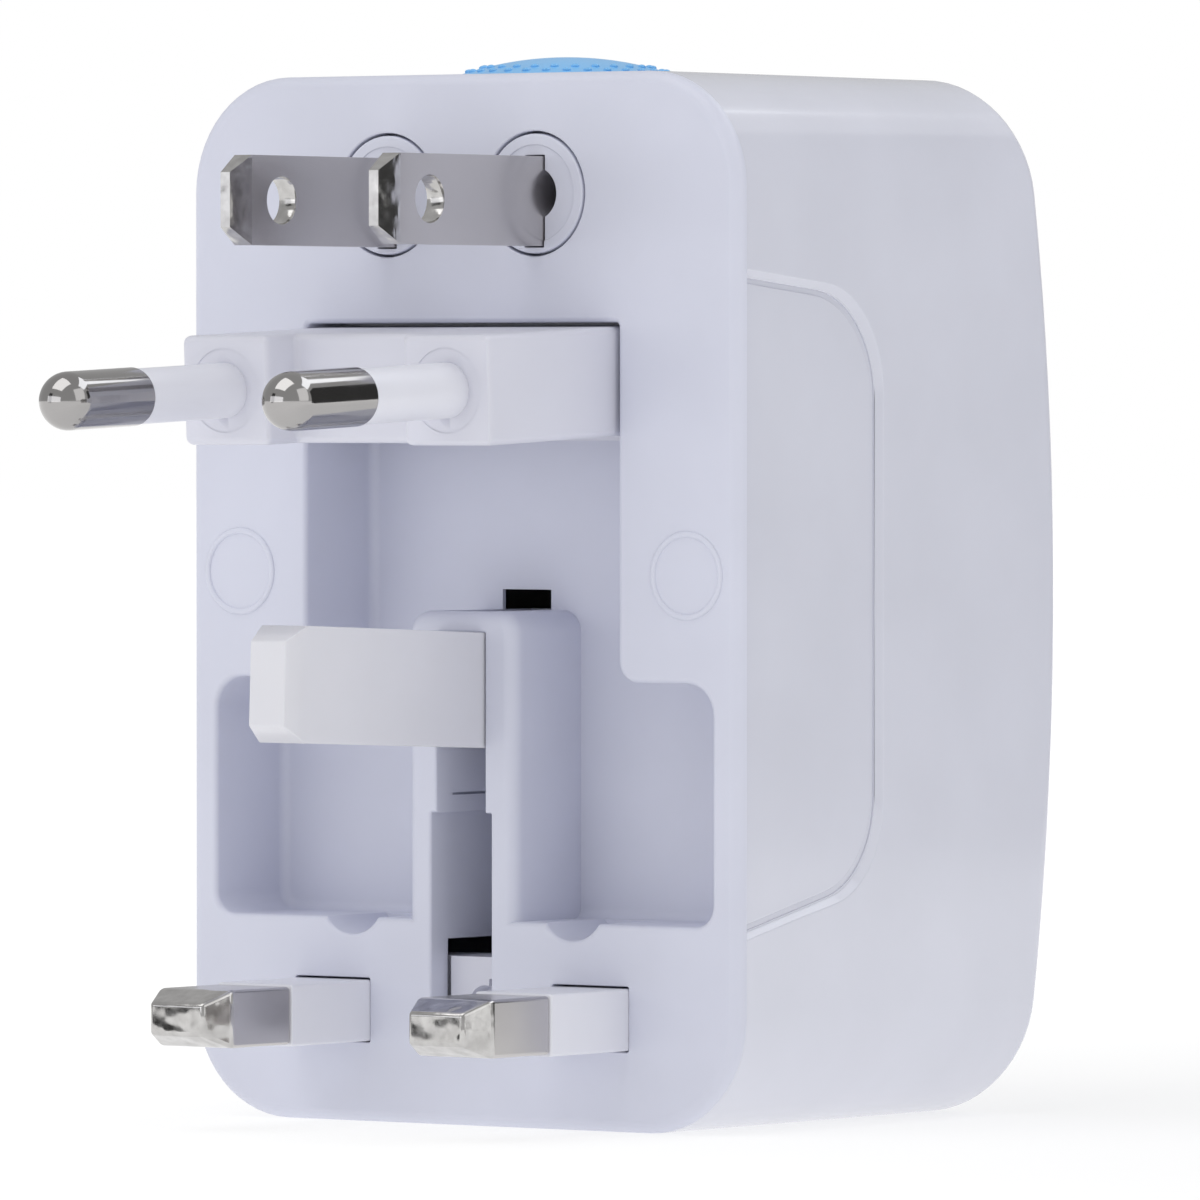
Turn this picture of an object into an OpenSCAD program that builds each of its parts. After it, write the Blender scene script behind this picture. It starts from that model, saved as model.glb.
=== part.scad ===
// Universal travel adapter: a box with four sets of plug pins on one face and a
// universal socket on the opposite face.
//
// Frame, in millimetres: +X to the right, +Z up, -Y towards the wall outlet (the plug
// face) and +Y towards the socket. The origin is the centre of the flat bottom.
// A "depth" is a distance behind the plug face: pins that stand out have negative depth.

/* [Body] */
// Width of the body
body_w = 47.2; // [46:0.1:50]
// Height of the body
body_h = 72.5; // [72.5:0.1:76]
// Depth from the plug face to the top of the socket crown
body_d = 38.6; // [38.6:0.1:42]
// Radius of the four long corners
corner_r = 8; // [6:0.5:9]
// Radius of the socket face's crown
crown_r = 166; // [150:1:200]
// Wall thickness of the shell
wall = 1.8; // [1.6:0.1:2]
// Thickness of the plug plate where it shows outside
rim_t = 1; // [0.8:0.1:1.2]
// Thickness of the plug plate
plate_t = 2; // [1.8:0.1:2.2]
// How far the finger grips are sunk into the sides
grip_sink = 0.4; // [0.2:0.1:0.6]
// How far the grips reach back from the plug face
grip_reach = 16.9; // [14:0.1:18]

/* [Recess] */
// Depth of the recess that the folded pins lie in
recess_depth = 7.7; // [7.7:0.05:8]
// Half width of the recess for the folding block
recess_half_w = 13.45; // [13.4:0.05:13.6]
// Height of the recess's top edge
recess_top = 55.35; // [55.3:0.05:55.6]
// Half width of the two pockets for the folded round pins
pocket_half_w = 21.36; // [21:0.01:21.4]
// Height of the pockets' bottom edge
pocket_bottom = 14.2; // [14:0.1:14.4]
// Height of the pockets' top edge
pocket_top = 30.75; // [30:0.05:32]
// Corner radius of the pockets
pocket_r = 2; // [1:0.1:2.5]
// Half width of the column between the pockets
column_half_w = 4.65; // [4.4:0.05:4.8]
// Height of the column's top
column_top = 35.5; // [35.2:0.1:35.6]
// Floor and wall thickness of the recess
tub_t = 1.2; // [1:0.1:1.3]

/* [Round pin plug] */
// Pin radius (the type C plug)
eu_pin_r = 2; // [2:0.1:2]
// Half the distance between the round pins
eu_half_pitch = 9.5; // [9.5:0.1:9.5]
// Length of a round pin
eu_pin_len = 19; // [19:0.1:19]
// Length of the insulating sleeve on a round pin
eu_sleeve_len = 10; // [9:0.1:10]
// Width of the folding block
eu_block_w = 26.3; // [26:0.1:26.5]
// Height of the folding block
eu_block_h = 7.5; // [7.3:0.1:7.5]
// How far the block stands out of the plug face
eu_block_out = 14.2; // [14.2:0.1:14.3]
// Depth of the notch in the block's end
eu_notch = 3.3; // [3.3:0.05:3.5]
// Half width of that notch
eu_notch_half_w = 5.75; // [5.5:0.05:6]
// Depth of the fold's axis
eu_axis_depth = 3.8; // [3.8:0.05:3.85]
// Height of the fold's axis
eu_axis_z = 51.45; // [51.4:0.05:51.5]
// Angle by which the block hangs below level when it is out, from play in its stop
eu_droop = 2.4; // [0:0.1:3]

/* [Rectangular pin plug] */
// Half the distance between the live and neutral pins (the type G plug)
uk_half_pitch = 11.11; // [11.11:0.01:11.11]
// Width of a live or neutral pin
uk_pin_w = 6.35; // [6.35:0.01:6.35]
// Thickness of a live or neutral pin
uk_pin_h = 3.97; // [3.97:0.01:3.97]
// How far the live and neutral pins stand out
uk_pin_len = 17.5; // [17:0.1:17.7]
// Length of the insulating sleeve
uk_sleeve_len = 8.8; // [8:0.1:9.5]
// Height of the live and neutral pins above the bottom
uk_z = 7.73; // [7.7:0.01:7.8]
// Travel of the carriage that holds the live and neutral pins
uk_travel = 17.6; // [17.6:0.1:17.7]
// Length of the plastic earth pin outside the face
earth_len = 21.6; // [21:0.1:21.8]
// Width of the earth pin
earth_w = 3.97; // [3.97:0.01:3.97]
// Height of the earth pin's section
earth_h = 7.95; // [7.95:0.01:7.95]
// Height of the earth pin above the live and neutral pins
earth_above = 22.22; // [22.22:0.01:22.23]

/* [Flat blade plug] */
// Half the distance between the blades (types A and I)
us_half_pitch = 6.35; // [6.35:0.01:6.35]
// Thickness of a blade
us_blade_t = 1.5; // [1.5:0.05:1.55]
// Height of a blade
us_blade_h = 6.15; // [6:0.05:6.35]
// How far a blade stands out
us_blade_len = 18.1; // [17.5:0.1:18.2]
// Height of the turning discs' centres
us_disc_z = 64.2; // [64:0.1:64.3]
// Radius of a turning disc
us_disc_r = 4.12; // [4:0.01:4.2]
// How much lower than its disc's centre a blade sits
us_drop = 0.53; // [0.3:0.01:0.6]
// Travel of the carriage that holds the blades
us_travel = 18.3; // [18.2:0.1:18.4]

/* [Button] */
// Radius of the release button
button_r = 8; // [7:0.1:8]
// How far the button stands above the top
button_rise = 1.4; // [1:0.1:1.8]
// Depth of the button's centre
button_depth = 12.45; // [12:0.05:13]

/* [Socket] */
// Height of the live and neutral openings
socket_z = 25; // [24.8:0.1:25.2]
// Width of the socket insert
insert_w = 40; // [38:0.5:40]
// Height of the socket insert
insert_h = 45.6; // [44:0.1:46]
// Travel of the safety shutter
shutter_travel = 6; // [5.5:0.1:6]

/* [Hidden] */

$fn = 64;
eps = 0.01;

// Plug face, and the middle of the body's height
face_y = -body_d / 2;
mid_z = body_h / 2;

// Clearances: between fixed pieces, round sliding ones and running shafts
gap = 0.1;
shaft_gap = 0.03;
axle_r = 0.8;

// Recess and the channel that the folded earth pin lies in
tub_depth = recess_depth + tub_t;
channel_depth = 11.1;
channel_back = channel_depth + tub_t;
channel_upper_half_w = 2.1;
channel_lower_half_w = 2.6;
channel_bottom = 6.2;
channel_step_z = 21.6;
channel_top = 36.9;
channel_floor_z = 12.8;
tip_notch_r = 2.7;
tip_notch_rise = 1.5;

// Round pins: the metal core inside the sleeve, and how deep both sit in the block
eu_core_r = 1.5;
eu_sleeve_r = 1.84;
eu_core_seat = 8;
eu_sleeve_seat = 4;
eu_barrel_r = eu_axis_depth - 0.1;
eu_axle_len = 5;
eu_axle_seat = 4;

// Earth pin: hub about its axis, and the heel behind it
earth_z = uk_z + earth_above;
earth_axis_depth = 3.4;
earth_axis_z = earth_z + earth_h / 2 - 2.03;
earth_hub_r = 3.25;
earth_heel = 4.6;
earth_heel_h = 1.6;
earth_taper = 1.8;
earth_inset = 1.1;
earth_axle_len = 8.4;

// Rectangular pins and their carriage
uk_sleeve_w = 6.5;
uk_sleeve_h = 4.25;
uk_core_w = 5.3;
uk_core_h = 2.9;
uk_taper = 2.2;
uk_taper_in = 0.9;
uk_slot_gap = 0.12;
uk_bar_front = 3;
uk_bar_back = 7;
uk_bar_half_w = 15.5;
uk_bar_low = 3.6;
uk_bar_high = 11.6;
uk_key_front = 2;
uk_key_half_w = 2.3;
uk_key_low = 6.9;

// Flat blades, their hubs, discs and carriage
us_taper = 2;
us_taper_h = 1.2;
us_taper_t = 0.35;
us_hole_r = 1.65;
us_hole_at = 12.8;
us_hub_r = 3.4;
us_hub_front = 2.9;
us_hub_back = 5;
us_stub_r = 1.25;
us_stub_back = 7.2;
us_disc_flange_r = 4.9;
us_disc_back = 2.8;
us_disc_hole_r = 1.8;
us_bar_front = 3;
us_bar_back = 7.4;
us_bar_half_w = 11.5;
us_bar_low = 59.4;
us_bar_high = 68.3;
us_pocket_gap = 0.15;
us_shelf_low = 57.9;
us_shelf_back = us_bar_back + us_travel + 0.3;

// Button stack under the top wall
button_flange_r = button_r + 0.8;
button_flange_low = body_h - 2.6;
button_flange_high = body_h - 1.9;
leaf_t = 0.25;
leaf_top = button_flange_low - 0.2;
leaf_half_len = 14.5;
leaf_w = 3.5;
ledge_in = 12;
ledge_out = 16.5;
ledge_high = leaf_top - leaf_t - 0.05;

// Screws through the plug plate into the shell
screw_x = 19.25;
screw_z = 38.1;
cap_r = 2.92;
cap_t = 0.8;
head_r = 2.2;
head_front = 0.85;
head_back = 1.8;
screw_r = 1.1;
screw_back = 15;
plate_boss_r = 2.4;
plate_boss_back = 4.5;
shell_boss_r = 2.3;
shell_boss_back = 16.5;

// Socket insert, shutter and contacts
insert_flange_front = 32.9;
insert_flange_back = 34.2;
insert_flange_grow = 1.2;
frame_front = 24.4;
frame_back = 32.8;
frame_base_t = 1.6;
frame_half_w = 19.4;
frame_low = 13.6;
frame_high = 57.4;
shutter_front = 31.05;
shutter_back = 32.6;
shutter_half_w = 17.6;
shutter_low = 15;
shutter_high = 29.6;
shutter_mid_high = 27;
spring_x = 13.5;
spring_half_w = 3;
spring_stop_z = 42;
earth_socket_z = socket_z + earth_above;
ground_socket_z = socket_z + 11.9;
contact_t = 0.6;
bus_x = 16.4;
bus_t = 0.9;
bus_front = 17;
bus_back = 23.5;

// ---- Helpers ---------------------------------------------------------------

// An X-Z outline made solid from one depth to another
module slab(front, back) {
    translate([0, face_y + back, 0]) rotate([90, 0, 0]) linear_extrude(back - front) children();
}

// A Y-Z outline (its first coordinate is depth) made solid from one X to another
module across(left, right) {
    translate([left, face_y, 0]) rotate([90, 0, 90]) linear_extrude(right - left) children();
}

// A rectangle with round corners, centred, made of true arcs
module round_rect(w, h, r) {
    square([w - 2 * r, h], center = true);
    square([w, h - 2 * r], center = true);
    for (sx = [-1, 1], sz = [-1, 1])
        translate([sx * (w / 2 - r), sz * (h / 2 - r)]) circle(r);
}

// A box between two corners given as X, depth, Z
module block(low, high) {
    translate([low[0], face_y + low[1], low[2]]) cube(high - low);
}

// A round bar along Y from one depth to another
module rod(x, z, r, front, back) {
    translate([x, face_y + back, z]) rotate([90, 0, 0]) cylinder(r = r, h = back - front);
}

// The body's outline, shrunk by a margin
module body_outline(margin = 0) {
    translate([0, mid_z]) round_rect(body_w - 2 * margin, body_h - 2 * margin, corner_r - margin);
}

// The crown of the socket face, shrunk by a margin
module crown(margin = 0) {
    translate([-body_w, face_y + body_d - crown_r, mid_z]) rotate([0, 90, 0])
        cylinder(r = crown_r - margin, h = 2 * body_w, $fn = 360);
}

// A rectangular bar pointing out of the face, with a tapered tip: the plan and the
// side outline cut each other
module bar(x, z, w, h, back, out, taper, in_w, in_h) {
    intersection() {
        translate([x, face_y, z - h]) linear_extrude(2 * h) polygon([
            [-w / 2, back], [-w / 2, taper - out], [-w / 2 + in_w, -out],
            [w / 2 - in_w, -out], [w / 2, taper - out], [w / 2, back]
        ]);
        across(x - w, x + w) translate([0, z]) polygon([
            [back, -h / 2], [taper - out, -h / 2], [-out, -h / 2 + in_h],
            [-out, h / 2 - in_h], [taper - out, h / 2], [back, h / 2]
        ]);
    }
}

// ---- Housing ---------------------------------------------------------------

// Outline of the recess: the block's bay, the two pin pockets and the tip notches,
// with the column left standing
module recess_outline(grow = 0) {
    difference() {
        union() {
            translate([-recess_half_w - grow, pocket_top - pocket_r])
                square([2 * (recess_half_w + grow), recess_top + grow - pocket_top + pocket_r]);
            translate([0, (pocket_top + pocket_bottom) / 2])
                round_rect(2 * (pocket_half_w + grow * 0.3),
                           pocket_top - pocket_bottom + 2 * grow, pocket_r);
            for (side = [-1, 1])
                translate([side * eu_half_pitch, pocket_bottom + tip_notch_rise])
                    circle(tip_notch_r + grow * 0.8);
        }
        if (grow == 0)
            translate([-column_half_w, 0]) square([2 * column_half_w, column_top]);
    }
}

module channel_outline() {
    translate([-channel_upper_half_w, channel_step_z - eps])
        square([2 * channel_upper_half_w, channel_top - channel_step_z + eps]);
    translate([-channel_lower_half_w, channel_bottom])
        square([2 * channel_lower_half_w, channel_step_z - channel_bottom]);
}

module rear_plate() {
    color("lavender") difference() {
        union() {
            slab(0, rim_t) body_outline();
            slab(rim_t - eps, plate_t) body_outline(wall + gap / 2);
            slab(rim_t, tub_depth) recess_outline(tub_t);
            block([-channel_lower_half_w - tub_t, rim_t, channel_floor_z],
                  [channel_lower_half_w + tub_t, channel_back, channel_top + tub_t]);
            block([-us_bar_half_w, rim_t, us_shelf_low], [us_bar_half_w, us_shelf_back, us_bar_low - gap]);
            for (side = [-1, 1])
                rod(side * screw_x, screw_z, plate_boss_r, rim_t, plate_boss_back);
        }
        slab(-1, recess_depth) recess_outline();
        slab(-1, channel_depth) channel_outline();
        slab(-1, channel_back + 1) translate([-channel_lower_half_w, channel_bottom])
            square([2 * channel_lower_half_w, channel_floor_z - channel_bottom]);
        for (side = [-1, 1]) {
            rod(side * us_half_pitch, us_disc_z, us_disc_r + gap, -1, plate_t + 1);
            translate([side * uk_half_pitch, 0, uk_z]) slab(-1, plate_t + 1)
                square([uk_sleeve_w + 2 * uk_slot_gap, uk_sleeve_h + 2 * uk_slot_gap], center = true);
            rod(side * screw_x, screw_z, cap_r + 0.04, -1, head_back);
            rod(side * screw_x, screw_z, screw_r + gap, -1, plate_boss_back + 1);
        }
        across(-recess_half_w - tub_t - 1, recess_half_w + tub_t + 1)
            translate([eu_axis_depth, eu_axis_z]) circle(axle_r);
        across(-earth_axle_len / 2, earth_axle_len / 2)
            translate([earth_axis_depth, earth_axis_z]) circle(axle_r);
    }
}

// Outline of a finger grip, seen from the side: depth and height
module grip_outline() {
    r = 7;
    low = 13.3;
    high = 58.7;
    polygon([[-1, high], [rim_t, high], [grip_reach - r, high - 3.2], [grip_reach - r, low + 3.2],
             [rim_t, low], [-1, low]]);
    for (z = [low + 3.2 + r, high - 3.2 - r]) translate([grip_reach - r, z]) circle(r);
    translate([grip_reach - r - eps, low + 3.2 + r]) square([r + eps, high - low - 6.4 - 2 * r]);
}

module main_shell() {
    color("gainsboro") difference() {
        union() {
            difference() {
                intersection() {
                    slab(rim_t, body_d + 1) body_outline();
                    crown();
                }
                intersection() {
                    slab(rim_t - 1, body_d) body_outline(wall);
                    crown(wall);
                }
            }
            for (side = [-1, 1]) {
                rod(side * screw_x, screw_z, shell_boss_r, plate_boss_back + gap, shell_boss_back);
                block([side > 0 ? screw_x : -body_w / 2 + wall - eps, plate_boss_back + gap, screw_z - 1],
                      [side > 0 ? body_w / 2 - wall + eps : -screw_x, shell_boss_back, screw_z + 1]);
                leaf_ledge(side);
                uk_guide(side);
            }
        }
        slab(insert_flange_front - 2, body_d + 1) translate([0, mid_z])
            square([insert_w + 2 * gap, insert_h + 2 * gap], center = true);
        translate([0, face_y + button_depth, button_flange_high]) cylinder(r = button_r + gap, h = wall * 2);
        for (side = [-1, 1]) {
            translate([side > 0 ? body_w / 2 - grip_sink : -body_w / 2 - 1, 0, 0])
                across(0, 1 + grip_sink) grip_outline();
            rod(side * screw_x, screw_z, screw_r, plate_boss_back, screw_back + 0.5);
        }
    }
}

// The ledge that carries one end of the button's leaf spring
module leaf_ledge(side) {
    half = leaf_w / 2 + 0.4;
    mirror([side > 0 ? 0 : 1, 0, 0]) {
        block([ledge_in, button_depth - half, ledge_high - 1.4],
              [ledge_out, button_depth + half, ledge_high]);
        block([leaf_half_len + 0.2, button_depth - half, ledge_high - 1.4],
              [ledge_out, button_depth + half, body_h - wall + 0.2]);
    }
}

// A rail on the floor beside the carriage of the rectangular pins
module uk_guide(side) {
    mirror([side > 0 ? 0 : 1, 0, 0])
        block([uk_bar_half_w + gap, 4, wall - 0.2], [uk_bar_half_w + 1.2, uk_bar_back + uk_travel + 2, 9]);
}

// One universal live or neutral opening: rectangular, round, upright and slanted slots
module universal_opening(side) {
    translate([side * uk_half_pitch, 0]) square([7, 4.6], center = true);
    translate([side * eu_half_pitch, 0]) circle(2.6);
    translate([side * us_half_pitch, 0]) square([1.9, 7.4], center = true);
    translate([side * (us_half_pitch + 0.7), 0]) rotate(side * 30) square([1.9, 7.4], center = true);
}

module socket_plate() {
    color("whitesmoke") difference() {
        union() {
            slab(insert_flange_front, insert_flange_back) translate([0, mid_z])
                square([insert_w + 2 * insert_flange_grow, insert_h + 2 * insert_flange_grow], center = true);
            intersection() {
                slab(insert_flange_back - eps, body_d + 1) translate([0, mid_z])
                    square([insert_w, insert_h], center = true);
                crown();
            }
        }
        slab(insert_flange_front - 1, body_d + 1) {
            for (side = [-1, 1]) translate([0, socket_z]) universal_opening(side);
            translate([0, earth_socket_z]) square([4.8, 8.8], center = true);
            translate([0, ground_socket_z]) circle(2.6);
        }
    }
}

// ---- Inside the socket -----------------------------------------------------

module contact_frame() {
    mid = (frame_low + frame_high) / 2;
    tall = frame_high - frame_low;
    color("white") {
        difference() {
            slab(frame_front, frame_back) translate([0, mid]) square([2 * frame_half_w, tall], center = true);
            slab(frame_front + frame_base_t, frame_back + 1) translate([0, mid])
                square([2 * (frame_half_w - tub_t), tall - 2 * tub_t], center = true);
        }
        for (side = [-1, 1], z = [20, 48])
            rod(side * 11.5, z, 2, tub_depth + gap, frame_front + eps);
        block([spring_x - spring_half_w, frame_front + eps, spring_stop_z],
              [frame_half_w - eps, shutter_back, spring_stop_z + tub_t]);
    }
}

// The shutter hides the live and neutral openings until it is pushed up
module shutter() {
    color("silver") difference() {
        block([-shutter_half_w, shutter_front, shutter_low], [shutter_half_w, shutter_back, shutter_high]);
        slab(shutter_front - 1, shutter_back + 1)
            for (side = [-1, 1])
                translate([side * 9.6, socket_z - shutter_travel - 0.1]) square([11.4, 5.6], center = true);
        block([-3, shutter_front - 1, shutter_mid_high], [3, shutter_back + 1, shutter_high + 1]);
    }
}

// A flat zigzag spring between the shutter and its stop
module shutter_spring() {
    low = shutter_high + gap;
    high = spring_stop_z - gap;
    bars = 7;
    pitch = (high - low - 0.4) / (bars - 1);
    front = shutter_front + 0.4;
    back = shutter_back - 0.4;
    color("silver") translate([spring_x, 0, 0]) for (i = [0 : bars - 1]) {
        block([-spring_half_w, front, low + i * pitch], [spring_half_w, back, low + i * pitch + 0.4]);
        if (i < bars - 1)
            block([i % 2 == 0 ? spring_half_w - 0.4 : -spring_half_w, front, low + i * pitch],
                  [i % 2 == 0 ? spring_half_w : 0.4 - spring_half_w, back, low + (i + 1) * pitch + 0.4]);
    }
}

// A two-leaf clip behind one opening
module contact(side) {
    base = frame_front + frame_base_t + 0.05;
    color("goldenrod") mirror([side > 0 ? 0 : 1, 0, 0]) {
        block([5, base, socket_z - 4], [15.4, base + contact_t, socket_z + 4]);
        for (z = [socket_z - 3.4, socket_z + 3.4 - contact_t])
            block([5, base, z], [15.4, shutter_front - 0.5, z + contact_t]);
    }
}

module live_contact() contact(1);
module neutral_contact() contact(-1);

// A strip that joins one pole of every plug to its clip
module bus(side) {
    color("goldenrod") mirror([side > 0 ? 0 : 1, 0, 0]) {
        block([bus_x + 0.5, bus_front, uk_bar_high + 1], [bus_x + 0.5 + bus_t, bus_back, us_bar_high - 1]);
        block([us_bar_half_w + gap, bus_front, us_bar_low + 3],
              [bus_x + 0.5 + bus_t, bus_front + bus_t, us_bar_low + 6]);
    }
}

module live_bus() bus(1);
module neutral_bus() bus(-1);

// ---- Round pin plug --------------------------------------------------------

// Everything on the block is drawn level, then hangs by the droop about the fold's axis
module hang() {
    translate([0, face_y + eu_axis_depth, eu_axis_z]) rotate([eu_droop, 0, 0])
        translate([0, -face_y - eu_axis_depth, -eu_axis_z]) children();
}

module eu_block() {
    half = eu_block_w / 2;
    color("whitesmoke") hang() difference() {
        union() {
            across(-half, half) translate([eu_axis_depth, eu_axis_z]) circle(eu_barrel_r);
            block([-half, -eu_block_out, eu_axis_z - eu_block_h / 2],
                  [half, eu_axis_depth, eu_axis_z + eu_block_h / 2]);
        }
        block([-eu_notch_half_w, -eu_block_out - 1, eu_axis_z - eu_block_h],
              [eu_notch_half_w, -eu_block_out + eu_notch, eu_axis_z + eu_block_h]);
        for (side = [-1, 1]) {
            rod(side * eu_half_pitch, eu_axis_z, eu_sleeve_r,
                -eu_block_out - 1, -eu_block_out + eu_sleeve_seat);
            rod(side * eu_half_pitch, eu_axis_z, eu_core_r, -eu_block_out, -eu_block_out + eu_core_seat);
            mirror([side > 0 ? 0 : 1, 0, 0])
                across(half - eu_axle_seat - 0.3, half + 1)
                    translate([eu_axis_depth, eu_axis_z]) circle(axle_r + shaft_gap);
        }
    }
}

// The metal pin: a slim core inside the sleeve, then a full-size end with a ball tip
module eu_pin(side) {
    metal = eu_pin_len - eu_sleeve_len;
    color("silver") hang() {
        rod(side * eu_half_pitch, eu_axis_z, eu_core_r,
            -eu_block_out - eu_sleeve_len - eps, -eu_block_out + eu_core_seat);
        translate([side * eu_half_pitch, face_y - eu_block_out - eu_sleeve_len, eu_axis_z])
            rotate([90, 0, 0]) rotate_extrude() {
                square([eu_pin_r, metal - eu_pin_r]);
                translate([0, metal - eu_pin_r]) intersection() {
                    circle(eu_pin_r);
                    square(eu_pin_r);
                }
            }
    }
}

module eu_sleeve(side) {
    color("white") hang() difference() {
        rod(side * eu_half_pitch, eu_axis_z, eu_sleeve_r,
            -eu_block_out - eu_sleeve_len, -eu_block_out + eu_sleeve_seat);
        rod(side * eu_half_pitch, eu_axis_z, eu_core_r,
            -eu_block_out - eu_sleeve_len - 1, -eu_block_out + eu_sleeve_seat + 1);
    }
}

module eu_axle(side) {
    half = eu_block_w / 2;
    color("silver") mirror([side > 0 ? 0 : 1, 0, 0])
        across(half - eu_axle_seat, half - eu_axle_seat + eu_axle_len)
            translate([eu_axis_depth, eu_axis_z]) circle(axle_r);
}

module eu_pin_left() eu_pin(-1);
module eu_pin_right() eu_pin(1);
module eu_sleeve_left() eu_sleeve(-1);
module eu_sleeve_right() eu_sleeve(1);
module eu_axle_left() eu_axle(-1);
module eu_axle_right() eu_axle(1);

// ---- Earth pin -------------------------------------------------------------

// The side outline of the hub and heel that turn inside the column
module earth_root() {
    low = earth_z - earth_h / 2;
    translate([earth_axis_depth, earth_axis_z]) circle(earth_hub_r);
    translate([0, low]) square([earth_axis_depth + earth_hub_r - 0.6, earth_axis_z - low]);
    translate([earth_axis_depth, low]) square([earth_heel, earth_heel_h]);
    translate([0, low]) square([earth_axis_depth, earth_h]);
}

module earth_pin() {
    color("ivory") difference() {
        union() {
            bar(0, earth_z, earth_w, earth_h, eps, earth_len, earth_taper, 0.5, earth_inset);
            across(-earth_w / 2, earth_w / 2) earth_root();
        }
        across(-earth_w, earth_w) translate([earth_axis_depth, earth_axis_z]) circle(axle_r + shaft_gap);
    }
}

module earth_axle() {
    color("silver") across(-earth_axle_len / 2, earth_axle_len / 2)
        translate([earth_axis_depth, earth_axis_z]) circle(axle_r);
}

// ---- Rectangular pin plug --------------------------------------------------

module uk_carriage() {
    color("whitesmoke") difference() {
        union() {
            block([-uk_bar_half_w, uk_bar_front, uk_bar_low], [uk_bar_half_w, uk_bar_back, uk_bar_high]);
            block([-uk_key_half_w, uk_key_front, uk_key_low],
                  [uk_key_half_w, uk_bar_front + eps, uk_bar_high]);
        }
        for (side = [-1, 1])
            translate([side * uk_half_pitch, 0, uk_z]) {
                slab(uk_bar_front - 1, uk_bar_back - 1.2) square([uk_core_w, uk_core_h], center = true);
                slab(uk_bar_front - 1, uk_bar_front + 1) square([uk_sleeve_w, uk_sleeve_h], center = true);
            }
        slab(uk_key_front - 1, uk_key_front + 0.8)
            translate([uk_key_half_w - 1.3, uk_key_low + 2.4]) square([2, 0.8]);
    }
}

module uk_blade(side) {
    color("silver") {
        bar(side * uk_half_pitch, uk_z, uk_pin_w, uk_pin_h, -uk_sleeve_len, uk_pin_len,
            uk_taper, uk_taper_in, uk_taper_in);
        translate([side * uk_half_pitch, 0, uk_z])
            slab(-uk_sleeve_len - eps, uk_bar_back - 1.2) square([uk_core_w, uk_core_h], center = true);
    }
}

module uk_sleeve(side) {
    color("white") translate([side * uk_half_pitch, 0, uk_z])
        slab(-uk_sleeve_len, uk_bar_front + 1) difference() {
            square([uk_sleeve_w, uk_sleeve_h], center = true);
            square([uk_core_w, uk_core_h], center = true);
        }
}

module uk_blade_left() uk_blade(-1);
module uk_blade_right() uk_blade(1);
module uk_sleeve_left() uk_sleeve(-1);
module uk_sleeve_right() uk_sleeve(1);

// ---- Flat blade plug -------------------------------------------------------

module us_carriage() {
    color("whitesmoke") difference() {
        block([-us_bar_half_w, us_bar_front, us_bar_low], [us_bar_half_w, us_bar_back, us_bar_high]);
        for (side = [-1, 1]) {
            rod(side * us_half_pitch, us_disc_z, us_hub_r + us_pocket_gap,
                us_bar_front - 1, us_hub_back + gap);
            rod(side * us_half_pitch, us_disc_z, us_stub_r + shaft_gap, us_bar_front, us_bar_back + 1);
        }
    }
}

// A disc in the plug plate: the blade slides through its slot and turns it
module us_disc(side) {
    x = side * us_half_pitch;
    color("whitesmoke") difference() {
        union() {
            rod(x, us_disc_z, us_disc_r, 0, plate_t + 0.1);
            rod(x, us_disc_z, us_disc_flange_r, plate_t + 0.05, us_disc_back);
        }
        translate([x, 0, us_disc_z - us_drop]) slab(-1, us_disc_back + 1)
            square([us_blade_t + 0.16, us_blade_h + 0.2], center = true);
        rod(x, us_disc_z, us_disc_hole_r, -1, us_disc_back + 1);
    }
}

module us_blade(side) {
    x = side * us_half_pitch;
    z = us_disc_z - us_drop;
    color("silver") {
        difference() {
            bar(x, z, us_blade_t, us_blade_h, us_hub_front + eps, us_blade_len, us_taper,
                us_taper_t, us_taper_h);
            across(x - 2, x + 2) translate([-us_hole_at, z]) circle(us_hole_r);
        }
        rod(x, us_disc_z, us_hub_r, us_hub_front, us_hub_back);
        rod(x, us_disc_z, us_stub_r, us_hub_back - eps, us_stub_back);
    }
}

module us_disc_left() us_disc(-1);
module us_disc_right() us_disc(1);
module us_blade_left() us_blade(-1);
module us_blade_right() us_blade(1);

// ---- Release button --------------------------------------------------------

// A low dome on a short barrel, with a flange that stops it inside the top wall
module us_button() {
    dome_r = (pow(button_r, 2) + pow(button_rise, 2)) / (2 * button_rise);
    color("deepskyblue") translate([0, face_y + button_depth, 0]) {
        translate([0, 0, button_flange_low])
            cylinder(r = button_flange_r, h = button_flange_high - button_flange_low);
        translate([0, 0, button_flange_low]) cylinder(r = button_r, h = body_h - button_flange_low);
        intersection() {
            translate([0, 0, body_h + button_rise - dome_r]) sphere(r = dome_r, $fn = 128);
            translate([0, 0, body_h - eps]) cylinder(r = button_r, h = button_rise * 2);
        }
        translate([0, 0, leaf_top + 0.02]) cylinder(r = 2, h = 1);
    }
}

module button_spring() {
    color("silver") block([-leaf_half_len, button_depth - leaf_w / 2, leaf_top - leaf_t],
                          [leaf_half_len, button_depth + leaf_w / 2, leaf_top]);
}

// ---- Fastening -------------------------------------------------------------

module screw_cap(side) {
    color("lavender") rod(side * screw_x, screw_z, cap_r, -0.05, cap_t);
}

module screw_cap_left() screw_cap(-1);
module screw_cap_right() screw_cap(1);

// Two self-tapping screws
module case_screws() {
    color("silver") for (side = [-1, 1]) {
        rod(side * screw_x, screw_z, head_r, head_front, head_back);
        rod(side * screw_x, screw_z, screw_r, head_back - eps, screw_back);
    }
}

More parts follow.
